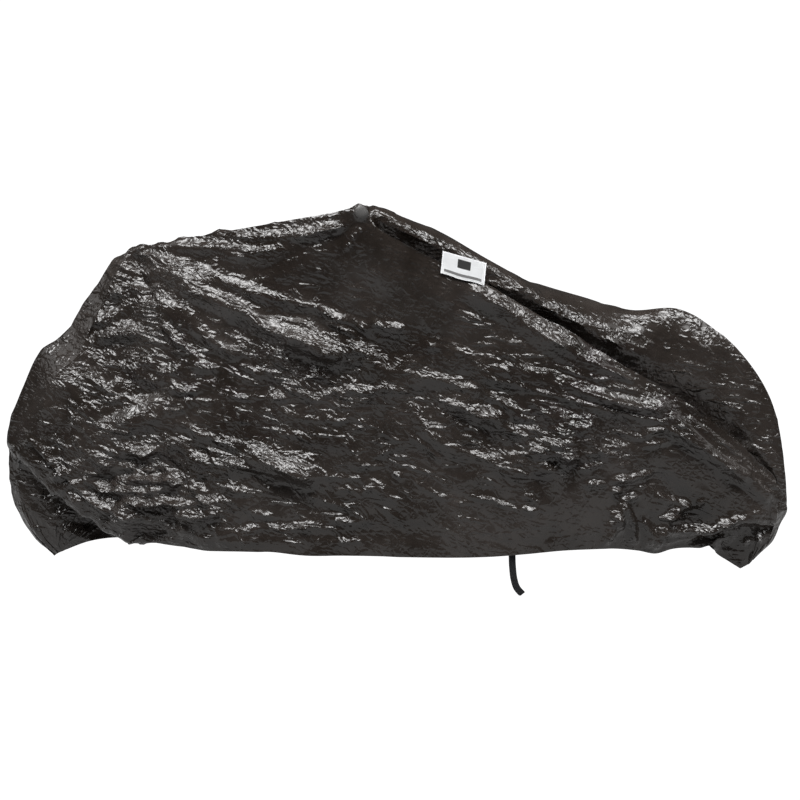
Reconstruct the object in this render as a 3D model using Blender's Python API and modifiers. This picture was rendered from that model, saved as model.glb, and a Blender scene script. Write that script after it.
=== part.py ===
"""A thin film cover as it hangs over a long bicycle: one hollow sheet, its blank label and its tie strap.

Sizes are in millimetres until the last step. x runs from the handlebar towards the front wheel, out is the
distance from the bicycle's own plane, and up is the height above the ground. The near side faces -Y. The
origin is under the top of the cover, where the handlebar carries it.
"""

import math
from collections import namedtuple

import bpy
import numpy as np
from mathutils import Vector, noise
from mathutils.bvhtree import BVHTree

METRES = 0.001
MOUNT_UP = 1094  # the film's underside over the middle of the handlebar
FILM = 1.6  # thickness of the sheet
LABEL_GAP = 3.0  # between the film and the patch sewn to it
NEAR, FAR = -1, 1
FAR_WIDTH = 0.96  # the far side hangs a little closer to the bicycle

# The cover is lofted from fanned sections. Each runs from the hem up the side, over the ridge line that
# is pulled tight by the grips, and on to the top line. Belly and skirt lie between the ridge and the hem.
Section = namedtuple("Section", "name top_x top_up ridge_x ridge_out ridge_up belly_out skirt_out sag "
                     "hem_x hem_out hem_up")
SECTIONS = [
    Section("rear hem", -990, 47, -975, 20, 58, 30, 36, 0, -942, 40, 73),
    Section("rear tyre", -1062, 118, -1030, 30, 116, 40, 46, 0, -908, 48, 88),
    Section("rear flap", -1113, 205, -1072, 34, 198, 50, 56, 6, -862, 52, 104),
    Section("rear recess", -1131, 365, -1085, 34, 340, 42, 42, -20, -745, 46, 114),
    Section("rear overhang", -1132, 406, -1062, 72, 364, 135, 168, 42, -625, 172, 122),
    Section("rear bulge", -1107, 500, -1030, 86, 433, 150, 190, 20, -540, 205, 118),
    Section("rear wheel back", -1073, 583, -994, 95, 508, 160, 206, 6, -475, 228, 114),
    Section("rear wheel top", -1016, 690, -949, 96, 618, 165, 218, 0, -424, 246, 116),
    Section("dip behind saddle", -946, 740, -884, 88, 672, 162, 226, 0, -370, 256, 118),
    Section("saddle tail fold", -872, 846, -822, 74, 800, 158, 232, 0, -316, 264, 119),
    Section("saddle tail", -742, 996, -716, 56, 993, 162, 238, 0, -257, 270, 120),
    Section("saddle", -625, 1013, -597, 92, 1018, 186, 244, 0, -192, 276, 114),
    Section("behind bar", -302, 1058, -267, 210, 1069, 238, 264, 0, -55, 282, 114),
    Section("bar edge", -56, 1090, -40, 290, 1106, 264, 272, 0, 66, 284, 113),
    Section("bar", -6, 1096, 0, 301, 1119, 270, 274, 0, 100, 285, 112),
    Section("bar front", 34, 1088, 34, 299, 1062, 270, 276, 0, 128, 285, 112),
    Section("bar slope", 118, 1068, 112, 294, 1012, 271, 275, 0, 196, 285, 112),
    Section("label start", 205, 1044, 210, 286, 960, 272, 280, 0, 266, 285, 112),
    Section("label end", 350, 960, 342, 258, 899, 266, 276, 0, 374, 278, 114),
    Section("valley start", 400, 938, 392, 247, 871, 262, 272, 0, 414, 272, 116),
    Section("middle", 487, 903, 475, 227, 821, 252, 264, 0, 475, 262, 120),
    Section("falling", 638, 858, 622, 190, 737, 226, 244, 0, 568, 240, 125),
    Section("waist", 794, 816, 771, 156, 648, 194, 216, 0, 657, 212, 124),
    Section("head tube", 938, 818, 887, 126, 582, 162, 180, 0, 737, 178, 120),
    Section("wheel shoulder", 1041, 762, 968, 101, 529, 136, 148, 0, 805, 144, 108),
    Section("front wheel top", 1126, 684, 1043, 85, 474, 116, 122, 0, 862, 116, 94),
    Section("front wheel front", 1194, 590, 1112, 70, 422, 100, 102, 0, 912, 96, 104),
    Section("front wheel edge", 1237, 484, 1176, 56, 360, 86, 88, 0, 963, 82, 106),
    Section("front point", 1261, 356, 1227, 46, 307, 76, 82, 0, 999, 76, 104),
    Section("front lip", 1270, 226, 1230, 46, 206, 72, 78, -20, 1036, 76, 110),
    Section("front recess", 1259, 172, 1227, 34, 168, 44, 50, -14, 1052, 50, 84),
    Section("front tyre", 1231, 109, 1206, 30, 106, 38, 42, 0, 1090, 42, 58),
    Section("front hem", 1180, 50, 1166, 20, 48, 28, 34, 0, 1128, 38, 34),
]

# Behind the ridge the slack film drops into a valley and rises again to a second, softer ridge.
Valley = namedtuple("Valley", "name valley_in valley_drop back_in back_rise")
VALLEYS = [
    Valley("bar", 40, 2, 80, -4),
    Valley("bar front", 56, 16, 52, 22),
    Valley("bar slope", 62, 20, 47, 38),
    Valley("label start", 66, 20, 50, 46),
    Valley("label end", 72, 22, 53, 44),
    Valley("valley start", 78, 24, 55, 42),
    Valley("middle", 88, 26, 57, 40),
    Valley("falling", 96, 29, 62, 52),
    Valley("waist", 94, 25, 72, 64),
    Valley("head tube", 99, 32, 82, 80),
    Valley("wheel shoulder", 86, 31, 65, 94),
    Valley("front wheel top", 70, 18, 58, 100),
    Valley("front wheel front", 56, 10, 48, 80),
    Valley("front wheel edge", 36, 2, 30, 36),
    Valley("front point", 22, 2, 16, 12),
]
FAR_VALLEY = Valley("far shares", 0.4, 1.4, 1.0, 0.4)  # of the near side's sizes

BELLY_AT, SKIRT_AT = 0.34, 0.74  # shares of the way from the ridge to the hem
STEP_ALONG = 58
STEPS_ACROSS = (3, 6, 6, 2, 1, 2)  # hem, skirt, belly, ridge, valley, back, top
RIDGE_COLUMN = sum(STEPS_ACROSS[:3])
RIDGES = (3, 9)  # where a section's control points turn a corner
CORNER_ROUNDING = 0.15

# Large folds, each a soft ridge or trough along a line seen from the side.
Fold = namedtuple("Fold", "zone x1 up1 x2 up2 width lift")
FOLDS = [
    Fold("near", -708, 985, -470, 958, 45, -5),
    Fold("near", -470, 958, -310, 932, 48, -2),
    Fold("near", -310, 932, -95, 880, 50, -2),
    Fold("near", -730, 990, -357, 892, 34, 5),
    Fold("near", -357, 892, -154, 835, 40, 5),
    Fold("near", -644, 955, -331, 814, 60, 9),
    Fold("near", -331, 814, -82, 687, 60, 8),
    Fold("near", -600, 815, -378, 690, 40, 5),
    Fold("near", -719, 985, -631, 847, 40, -10),
    Fold("near", -640, 850, -477, 638, 40, 6),
    Fold("near", -3, 1071, -357, 906, 40, -3),
    Fold("near", 218, 690, 561, 600, 50, 5),
    Fold("near", 561, 600, 885, 530, 50, 5),
    Fold("near", 333, 651, 892, 497, 42, 5),
    Fold("near", 148, 551, 219, 451, 45, 6),
    Fold("near", 219, 451, 478, 348, 50, 7),
    Fold("near", -800, 323, -541, 380, 50, -12),
    Fold("near", -765, 253, -439, 251, 55, 9),
    Fold("near", 884, 498, 1220, 262, 45, 10),
    Fold("near", 832, 353, 993, 194, 55, -15),
    Fold("near", -847, 727, -644, 693, 55, -8),
    Fold("near", -926, 607, -704, 551, 60, 5),
    Fold("near", -764, 462, -578, 525, 60, 12),
    Fold("near", -360, 401, -127, 366, 60, 8),
    Fold("near", -438, 190, 220, 178, 45, -6),
    Fold("near back", 720, 800, 900, 700, 60, -5),
    Fold("near back", 960, 770, 1010, 600, 60, 5),
    Fold("near back", 1050, 690, 1130, 500, 50, -8),
    Fold("far", -725, 985, -300, 905, 50, -22),
    Fold("far", -690, 960, -240, 740, 60, 22),
    Fold("far", -640, 900, -380, 620, 60, 20),
    Fold("far", -700, 930, -620, 600, 55, -21),
    Fold("far", 20, 1060, -260, 800, 60, -18),
    Fold("far", 60, 960, 420, 620, 70, 21),
    Fold("far", 300, 820, 800, 520, 60, 18),
    Fold("far", 160, 560, 640, 330, 60, 21),
    Fold("far", -420, 520, 60, 390, 70, 20),
    Fold("far", -860, 640, -600, 560, 60, 21),
    Fold("far", -900, 470, -560, 330, 60, -20),
    Fold("far", -700, 270, -380, 220, 55, 18),
    Fold("far", 820, 540, 1180, 300, 50, 15),
    Fold("far", 700, 420, 960, 230, 60, -16),
    Fold("far back", 560, 840, 860, 640, 60, 18),
    Fold("far back", 950, 760, 1090, 540, 55, -15),
]

# Unevenness of the slack film: waves of one size all over, and stronger crumples around the rear wheel.
WAVE_SIZE, WAVE_LIFT = 190, 5
CRUMPLE_SIZE, CRUMPLE_LIFT = 95, 9
CRUMPLE_CENTRE, CRUMPLE_REACH = (-800, 520), 420

# The label, seen from the side: its bottom left corner, and its bottom and left edges.
LABEL_CORNER = (220, 925)
LABEL_BOTTOM_EDGE = (122, -34)
LABEL_LEFT_EDGE = (6, 63)
LABEL_THICK = 1.0
LABEL_COLUMNS, LABEL_ROWS = 12, 7
LABEL_SAMPLES = 4  # places looked at for each of the label's cells

# The strap hangs from the inside of the near hem, and its free end curls towards the front wheel.
STRAP_WIDTH, STRAP_THICK = 20, 1.6
STRAP_PATH = [(428, 156), (428, 116), (430, 76), (434, 46), (442, 22), (458, 4)]
STRAP_OUT = [266, 261.5, 262, 264, 267, 272]
STRAP_STEPS = 4


def place(x, out, up):
    """A point in the part's own frame, in metres."""
    return Vector((x, out, up - MOUNT_UP)) * METRES


def smooth_through(points, distances, counts, corners=()):
    """Points on a curve through the given ones, along the first axis, counts[i] steps in gap i.
    The curve is smooth but at the corners, where it turns within a short way."""
    gaps = np.diff(distances, axis=0)
    slopes = np.diff(points, axis=0) / gaps
    leaving, arriving = slopes.copy(), slopes.copy()
    for i in range(1, len(points) - 1):
        before, after = gaps[i - 1], gaps[i]
        through = (slopes[i - 1] * after + slopes[i] * before) / (before + after)
        share = CORNER_ROUNDING if i in corners else 1
        arriving[i - 1] += (through - slopes[i - 1]) * share
        leaving[i] += (through - slopes[i]) * share
    rows = []
    for i, count in enumerate(counts):
        for step in range(count):
            t = step / count
            rows.append((2 * t**3 - 3 * t**2 + 1) * points[i] + (t**3 - 2 * t**2 + t) * gaps[i] * leaving[i]
                        + (3 * t**2 - 2 * t**3) * points[i + 1] + (t**3 - t**2) * gaps[i] * arriving[i])
    rows.append(points[-1])
    return np.array(rows)


def section_controls(section, side):
    """The section's control points on one side, hem first and back ridge last, as x, signed out, up."""
    width = side * (FAR_WIDTH if side == FAR else 1)
    hem = np.array((section.hem_x, section.hem_out, section.hem_up), float)
    ridge = np.array((section.ridge_x, section.ridge_out, section.ridge_up), float)
    top = np.array((section.top_x, 0, section.top_up), float)
    down = np.array((0, 0, -section.sag))
    belly = ridge + (hem - ridge) * BELLY_AT + down
    skirt = ridge + (hem - ridge) * SKIRT_AT + down
    belly[1], skirt[1] = section.belly_out, section.skirt_out
    found = [row for row in VALLEYS if row.name == section.name]
    if found:
        share = np.array(FAR_VALLEY[1:]) if side == FAR else np.ones(4)
        valley_in, valley_drop, back_in, back_rise = np.array(found[0][1:]) * share
        valley = ridge + (0, -valley_in, -valley_drop)
        back = ridge + (0, -back_in, back_rise)
    else:
        valley, back = ridge + (top - ridge) * 0.3, ridge + (top - ridge) * 0.6
    controls = np.array((hem, skirt, belly, ridge, valley, back))
    controls[:, 1] *= width
    return controls


def cover_grid():
    """The draped surface as a grid of points: sections from the rear to the front, near hem to far hem."""
    controls = []
    for section in SECTIONS:
        top = [(section.top_x, 0, section.top_up)]
        far = section_controls(section, FAR)[::-1]
        controls.append(np.concatenate((section_controls(section, NEAR), top, far)))
    controls = np.array(controls)
    lengths = np.linalg.norm(np.diff(controls, axis=0), axis=2).mean(axis=1)
    distances = np.concatenate(([0], np.cumsum(lengths)))
    counts = [max(1, round(length / STEP_ALONG)) for length in lengths]
    along = smooth_through(controls, distances[:, None, None], counts)
    chords = np.linalg.norm(np.diff(along, axis=1), axis=2)
    across = np.concatenate((np.zeros((len(along), 1)), np.cumsum(chords, axis=1)), axis=1)
    steps = STEPS_ACROSS + STEPS_ACROSS[::-1]
    return smooth_through(along.swapaxes(0, 1), across.T[:, :, None], steps, RIDGES).swapaxes(0, 1)


def outward_normals(grid):
    normals = np.cross(np.gradient(grid, axis=0), np.gradient(grid, axis=1))
    return normals / np.linalg.norm(normals, axis=2, keepdims=True)


def fold_lift(fold, x, up):
    """How far a fold lifts the film at each point: a soft bell across its line, fading at both ends."""
    start, run = np.array((fold.x1, fold.up1)), np.array((fold.x2 - fold.x1, fold.up2 - fold.up1))
    length = np.hypot(*run)
    along = ((x - start[0]) * run[0] + (up - start[1]) * run[1]) / length**2
    aside = np.abs((x - start[0]) * run[1] - (up - start[1]) * run[0]) / length
    bell = np.cos(np.clip(aside / fold.width, 0, 1) * math.pi / 2) ** 2
    ends = np.clip(np.minimum(along, 1 - along) * length / fold.width + 0.5, 0, 1)
    return fold.lift * bell * ends


def film_noise(point, size):
    return noise.noise(Vector(point) / size)


def fold_zones(columns):
    """The columns of the grid that each zone of folds covers."""
    column = np.arange(columns)
    ridges = {"near": RIDGE_COLUMN, "far": columns - 1 - RIDGE_COLUMN}
    middle = columns // 2
    return {
        "near": column < ridges["near"],
        "near back": (column > ridges["near"] + 1) & (column < middle),
        "far": column > ridges["far"],
        "far back": (column < ridges["far"] - 1) & (column > middle),
    }


def folded(grid):
    """The surface with its folds and its unevenness, which leave the ridges and the top line in place."""
    x, up = grid[:, :, 0], grid[:, :, 2]
    zones = fold_zones(grid.shape[1])
    lift = np.zeros(x.shape)
    for fold in FOLDS:
        lift += fold_lift(fold, x, up) * zones[fold.zone]
    reach = np.hypot(x - CRUMPLE_CENTRE[0], up - CRUMPLE_CENTRE[1]) / CRUMPLE_REACH
    crumpled = np.clip(1.4 - reach, 0, 1) * CRUMPLE_LIFT
    waves = np.array([[film_noise(p, WAVE_SIZE) for p in row] for row in grid])
    crumples = np.array([[film_noise(p, CRUMPLE_SIZE) for p in row] for row in grid])
    loose = np.any([zones["near"], zones["far"]], axis=0)
    lift += (waves * WAVE_LIFT + crumples * crumpled) * loose
    slack = np.clip((np.linalg.norm(grid[:, :1] - grid[:, -1:], axis=2) - 60) / 120, 0, 1)
    return grid + outward_normals(grid) * (lift * slack)[:, :, None]


def grid_mesh(name, points):
    """A mesh of quads over a grid of points."""
    rows, columns = points.shape[:2]
    index = np.arange(rows * columns).reshape(rows, columns)
    corners = (index[:-1, :-1], index[1:, :-1], index[1:, 1:], index[:-1, 1:])
    faces = np.stack([corner.ravel() for corner in corners], axis=1)
    mesh = bpy.data.meshes.new(name)
    mesh.from_pydata([place(*point) for point in points.reshape(-1, 3)], [], faces.tolist())
    return mesh


def principled(name, colour, roughness):
    material = bpy.data.materials.new(name)
    material.use_nodes = True
    shader = material.node_tree.nodes["Principled BSDF"]
    shader.inputs["Base Color"].default_value = (*colour, 1)
    shader.inputs["Roughness"].default_value = roughness
    shader.inputs["Metallic"].default_value = 0
    return material


def sheet_object(collection, name, points, thickness, material):
    """A sheet of cloth: its surface cut into triangles, then given a thickness on its inner side."""
    mesh = grid_mesh(name, points)
    mesh.materials.append(material)
    mesh.shade_smooth()
    sheet = bpy.data.objects.new(name, mesh)
    collection.objects.link(sheet)
    triangles = sheet.modifiers.new("triangles", "TRIANGULATE")
    triangles.quad_method = "SHORTEST_DIAGONAL"
    solid = sheet.modifiers.new("thickness", "SOLIDIFY")
    solid.thickness = thickness * METRES
    solid.offset = -1
    return sheet


def film_depths(cover_points, places):
    """How far along Y the film's near side lies behind each place of the side view."""
    mesh = grid_mesh("label guide", cover_points)
    tree = BVHTree.FromPolygons([v.co for v in mesh.vertices], [tuple(f.vertices) for f in mesh.polygons])
    bpy.data.meshes.remove(mesh)
    found = [[tree.ray_cast(place(x, -500, up), Vector((0, 1, 0)))[0].y / METRES for x, up in row]
             for row in places]
    return np.array(found)


def lowest_around(values, reach):
    """Each value replaced by the lowest one within reach cells of it."""
    for axis in (0, 1):
        padded = np.pad(values, [(reach, reach) if axis == i else (0, 0) for i in (0, 1)], mode="edge")
        shifted = [np.take(padded, range(i, i + values.shape[axis]), axis) for i in range(2 * reach + 1)]
        values = np.min(shifted, axis=0)
    return values


def label_grid(cover_points):
    """A patch on the near side of the film where the side view shows it: it bridges the film's dips, and
    stands straight up where the film turns away behind the ridge."""
    fine = LABEL_SAMPLES
    i, j = np.meshgrid(np.arange(LABEL_COLUMNS * fine + 1), np.arange(LABEL_ROWS * fine + 1), indexing="ij")
    corner, across, rise = map(np.array, (LABEL_CORNER, LABEL_BOTTOM_EDGE, LABEL_LEFT_EDGE))
    places = (corner + across * (i / (LABEL_COLUMNS * fine))[:, :, None]
              + rise * (j / (LABEL_ROWS * fine))[:, :, None])
    out = lowest_around(film_depths(cover_points, places), fine)[::fine, ::fine] - LABEL_GAP - LABEL_THICK
    out = np.minimum.accumulate(out, axis=1)
    places = places[::fine, ::fine]
    return np.dstack((places[:, :, 0], out, places[:, :, 1]))


def strap_grid():
    """The strap's near face: a flat band swept down its path."""
    path = np.array([(x, -out, up) for (x, up), out in zip(STRAP_PATH, STRAP_OUT)], float)
    lengths = np.linalg.norm(np.diff(path, axis=0), axis=1)
    distances = np.concatenate(([0], np.cumsum(lengths)))[:, None]
    centre = smooth_through(path, distances, [STRAP_STEPS] * len(lengths))
    run = np.gradient(centre, axis=0)
    sideways = np.cross(run, (0, 1, 0))
    sideways *= STRAP_WIDTH / 2 / np.linalg.norm(sideways, axis=1, keepdims=True)
    return np.stack((centre - sideways, centre + sideways), axis=1)


def build():
    for old in list(bpy.data.objects):
        bpy.data.objects.remove(old)
    collection = bpy.data.collections.new("bicycle cover")
    bpy.context.scene.collection.children.link(collection)
    film = principled("black film", (0.024, 0.021, 0.019), 0.3)
    cover = folded(cover_grid())
    sheet_object(collection, "cover_film", cover, FILM, film)
    patch = principled("white patch", (0.75, 0.76, 0.78), 0.7)
    sheet_object(collection, "label_patch", label_grid(cover), LABEL_THICK, patch)
    webbing = principled("black webbing", (0.015, 0.015, 0.016), 0.85)
    sheet_object(collection, "tie_strap", strap_grid(), STRAP_THICK, webbing)


build()
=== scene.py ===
import math
from collections import namedtuple

import bpy
import numpy as np
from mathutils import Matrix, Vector, noise
from mathutils.bvhtree import BVHTree


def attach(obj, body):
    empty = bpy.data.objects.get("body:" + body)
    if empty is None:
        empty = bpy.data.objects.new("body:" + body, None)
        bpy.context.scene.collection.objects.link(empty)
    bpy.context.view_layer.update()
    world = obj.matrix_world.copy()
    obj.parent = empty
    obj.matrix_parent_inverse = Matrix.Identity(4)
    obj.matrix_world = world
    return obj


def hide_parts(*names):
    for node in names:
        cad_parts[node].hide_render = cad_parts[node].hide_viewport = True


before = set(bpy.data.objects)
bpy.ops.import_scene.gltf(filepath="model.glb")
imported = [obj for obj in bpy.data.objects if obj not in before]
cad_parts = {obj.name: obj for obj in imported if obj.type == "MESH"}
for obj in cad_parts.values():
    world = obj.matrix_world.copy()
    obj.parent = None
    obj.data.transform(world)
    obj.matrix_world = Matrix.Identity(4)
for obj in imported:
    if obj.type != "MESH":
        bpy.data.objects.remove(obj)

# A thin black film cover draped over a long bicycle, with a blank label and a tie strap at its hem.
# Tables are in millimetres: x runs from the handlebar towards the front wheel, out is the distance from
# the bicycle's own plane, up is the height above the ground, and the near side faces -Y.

METRES = 0.001
MOUNT_UP = 1094  # the handlebar's top, which is the frame's origin, above the ground
NEAR, FAR = -1, 1
FAR_WIDTH = 0.96

CAMERA_PLACE = (0.2675, -3.9962, -0.183)
CAMERA_TILT, CAMERA_YAW = 84.70, 2.5
CAMERA_LENS, CAMERA_SENSOR = 59.02, 36

Section = namedtuple("Section", "name top_x top_up ridge_x ridge_out ridge_up belly_out skirt_out sag "
                     "hem_x hem_out hem_up")
SECTIONS = [Section(*row) for row in (
    ("rear hem", -990, 47, -975, 20, 58, 30, 36, 0, -942, 40, 73),
    ("rear tyre", -1062, 118, -1030, 30, 116, 40, 46, 0, -908, 48, 88),
    ("rear flap", -1113, 205, -1072, 34, 198, 50, 56, 6, -862, 52, 104),
    ("rear recess", -1131, 365, -1085, 34, 340, 42, 42, -20, -745, 46, 114),
    ("rear overhang", -1132, 406, -1062, 72, 364, 135, 168, 42, -625, 172, 122),
    ("rear bulge", -1107, 500, -1030, 86, 433, 150, 190, 20, -540, 205, 118),
    ("rear wheel back", -1073, 583, -994, 95, 508, 160, 206, 6, -475, 228, 114),
    ("rear wheel top", -1016, 690, -949, 96, 618, 165, 218, 0, -424, 246, 116),
    ("dip behind saddle", -946, 740, -884, 88, 672, 162, 226, 0, -370, 256, 118),
    ("saddle tail fold", -872, 846, -822, 74, 800, 158, 232, 0, -316, 264, 119),
    ("saddle tail", -742, 996, -716, 56, 993, 162, 238, 0, -257, 270, 120),
    ("saddle", -625, 1013, -597, 92, 1018, 186, 244, 0, -192, 276, 114),
    ("behind bar", -302, 1058, -267, 210, 1069, 238, 264, 0, -55, 282, 114),
    ("bar edge", -56, 1090, -40, 290, 1106, 264, 272, 0, 66, 284, 113),
    ("bar", -6, 1096, 0, 301, 1119, 270, 274, 0, 100, 285, 112),
    ("bar front", 34, 1088, 34, 299, 1062, 270, 276, 0, 128, 285, 112),
    ("bar slope", 118, 1068, 112, 294, 1012, 271, 275, 0, 196, 285, 112),
    ("label start", 205, 1044, 210, 286, 960, 272, 280, 0, 266, 285, 112),
    ("label end", 350, 960, 342, 258, 899, 266, 276, 0, 374, 278, 114),
    ("valley start", 400, 938, 392, 247, 871, 262, 272, 0, 414, 272, 116),
    ("middle", 487, 903, 475, 227, 821, 252, 264, 0, 475, 262, 120),
    ("falling", 638, 858, 622, 190, 737, 226, 244, 0, 568, 240, 125),
    ("waist", 794, 816, 771, 156, 648, 194, 216, 0, 657, 212, 124),
    ("head tube", 938, 818, 887, 126, 582, 162, 180, 0, 737, 178, 120),
    ("wheel shoulder", 1041, 762, 968, 101, 529, 136, 148, 0, 805, 144, 108),
    ("front wheel top", 1126, 684, 1043, 85, 474, 116, 122, 0, 862, 116, 94),
    ("front wheel front", 1194, 590, 1112, 70, 422, 100, 102, 0, 912, 96, 104),
    ("front wheel edge", 1237, 484, 1176, 56, 360, 86, 88, 0, 963, 82, 106),
    ("front point", 1261, 356, 1227, 46, 307, 76, 82, 0, 999, 76, 104),
    ("front lip", 1270, 226, 1230, 46, 206, 72, 78, -20, 1036, 76, 110),
    ("front recess", 1259, 172, 1227, 34, 168, 44, 50, -14, 1052, 50, 84),
    ("front tyre", 1231, 109, 1206, 30, 106, 38, 42, 0, 1090, 42, 58),
    ("front hem", 1180, 50, 1166, 20, 48, 28, 34, 0, 1128, 38, 34),
)]

# Behind the ridge the slack film drops into a valley and rises again to a second, softer ridge.
# The rows say how far in and down the valley lies from the ridge, and how far in and up the second one.
VALLEYS = {
    "bar": (40, 2, 80, -4),
    "bar front": (56, 16, 52, 22),
    "bar slope": (62, 20, 47, 38),
    "label start": (66, 20, 50, 46),
    "label end": (72, 22, 53, 44),
    "valley start": (78, 24, 55, 42),
    "middle": (88, 26, 57, 40),
    "falling": (96, 29, 62, 52),
    "waist": (94, 25, 72, 64),
    "head tube": (99, 32, 82, 80),
    "wheel shoulder": (86, 31, 65, 94),
    "front wheel top": (70, 18, 58, 100),
    "front wheel front": (56, 10, 48, 80),
    "front wheel edge": (36, 2, 30, 36),
    "front point": (22, 2, 16, 12),
}
FAR_VALLEY = (0.4, 1.4, 1.0, 0.4)  # of the near side's sizes

BELLY_AT, SKIRT_AT = 0.34, 0.74  # shares of the way from the ridge down to the hem
VALLEY_AT, BACK_AT = 0.3, 0.6  # shares of the way from the ridge to the top, where no valley is listed
RIDGES = (3, 9)  # where a section's control points turn a corner
CORNER_ROUNDING = 0.15
STEP_ALONG = 7.9
GRIP_SECTIONS, FINER = ("bar edge", "bar"), 1.7  # times as many rows over the grip's end
STEPS_ACROSS = {NEAR: (38, 54, 48, 12, 9, 10), FAR: (13, 18, 17, 6, 5, 7)}  # from the hem to the top
RIDGE_COLUMNS = 3  # columns behind each ridge that belong to no zone

Fold = namedtuple("Fold", "x1 up1 x2 up2 width lift")
FOLDS = {"near": [
    (-708, 985, -470, 958, 45, -5),
    (-470, 958, -310, 932, 48, -2),
    (-310, 932, -95, 880, 50, -2),
    (-730, 990, -357, 892, 34, 5),
    (-357, 892, -154, 835, 40, 5),
    (-644, 955, -331, 814, 60, 9),
    (-331, 814, -82, 687, 60, 8),
    (-600, 815, -378, 690, 40, 5),
    (-719, 985, -631, 847, 40, -10),
    (-640, 850, -477, 638, 40, 6),
    (-3, 1071, -357, 906, 40, -3),
    (218, 690, 561, 600, 50, 5),
    (561, 600, 885, 530, 50, 5),
    (333, 651, 892, 497, 42, 5),
    (148, 551, 219, 451, 45, 6),
    (219, 451, 478, 348, 50, 7),
    (-800, 323, -541, 380, 50, -12),
    (-765, 253, -439, 251, 55, 9),
    (884, 498, 1220, 262, 45, 10),
    (832, 353, 993, 194, 55, -15),
    (-847, 727, -644, 693, 55, -8),
    (-926, 607, -704, 551, 60, 5),
    (-764, 462, -578, 525, 60, 12),
    (-360, 401, -127, 366, 60, 8),
    (-438, 190, 220, 178, 45, -6),
], "near back": [
    (720, 800, 900, 700, 60, -5),
    (960, 770, 1010, 600, 60, 5),
    (1050, 690, 1130, 500, 50, -8),
], "far": [
    (-725, 985, -300, 905, 50, -22),
    (-690, 960, -240, 740, 60, 22),
    (-640, 900, -380, 620, 60, 20),
    (-700, 930, -620, 600, 55, -21),
    (20, 1060, -260, 800, 60, -18),
    (60, 960, 420, 620, 70, 21),
    (300, 820, 800, 520, 60, 18),
    (160, 560, 640, 330, 60, 21),
    (-420, 520, 60, 390, 70, 20),
    (-860, 640, -600, 560, 60, 21),
    (-900, 470, -560, 330, 60, -20),
    (-700, 270, -380, 220, 55, 18),
    (820, 540, 1180, 300, 50, 15),
    (700, 420, 960, 230, 60, -16),
], "far back": [
    (560, 840, 860, 640, 60, 18),
    (950, 760, 1090, 540, 55, -15),
]}
FOLD_END = 0.5  # a fold's height at its very end, as a share

# Unevenness of the slack film: waves of one size all over, and stronger crumples around the rear wheel.
WAVE_SIZE, WAVE_LIFT = 190, 5
CRUMPLE_SIZE, CRUMPLE_LIFT = 95, 9
CRUMPLE_CENTRE, CRUMPLE_REACH, CRUMPLE_FADE = (-800, 520), 420, 1.4
TIGHT_UNDER, TIGHT_FADE = 60, 120  # from hem to hem: the film is tight where it is as narrow as this

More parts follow.
